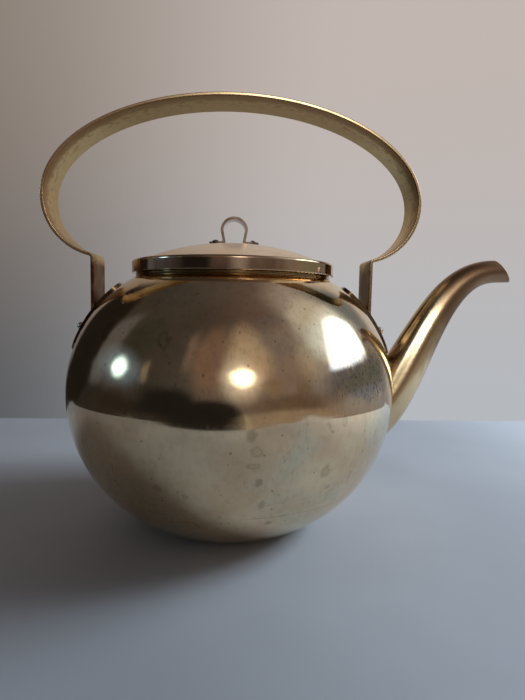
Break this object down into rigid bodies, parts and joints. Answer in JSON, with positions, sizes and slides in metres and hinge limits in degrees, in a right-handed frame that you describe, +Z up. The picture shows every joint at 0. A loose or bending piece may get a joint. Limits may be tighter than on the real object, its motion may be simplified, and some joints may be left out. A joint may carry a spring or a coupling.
{
  "type": "antique teapot",
  "caption": "Round-bellied brass teapot of kettle form with a bent spout, a fixed strap handle over the mouth and a low domed lid that lifts off by a finger loop.",
  "frame": {"origin": "centre of the flat base, on the surface the teapot stands on", "axes": "+X towards the spout, +Z up along the axis of the belly, +Y away from the camera of the picture"},
  "size_m": [0.2922, 0.2, 0.2609],
  "materials": {
    "belly_brass": "polished, lightly marked",
    "spout_brass": "polished",
    "strap_brass": "worn bright edges, browned flats",
    "lid_brass": "satin",
    "loop_brass": "browned, satin",
    "rivet_brass": "polished by hands"
  },
  "bodies": {
    "kettle": {"base_pan": "belly_brass", "body_shell": "belly_brass", "neck_ring": "belly_brass", "spout": "spout_brass", "handle_strap": "strap_brass", "handle_foot_left": "strap_brass", "handle_foot_right": "strap_brass", "foot_rivets_left": "rivet_brass", "foot_rivets_right": "rivet_brass"},
    "lid": {"lid_dome": "lid_brass", "lid_band": "belly_brass", "lid_sleeve": "lid_brass", "lid_loop": "loop_brass", "lid_loop_rivets": "rivet_brass"}
  },
  "joints": [
    {"name": "lid_lift", "type": "slide", "parent": "kettle", "child": "lid", "axis": [0, 0, 1], "range_m": [0, 0.055]}
  ]
}
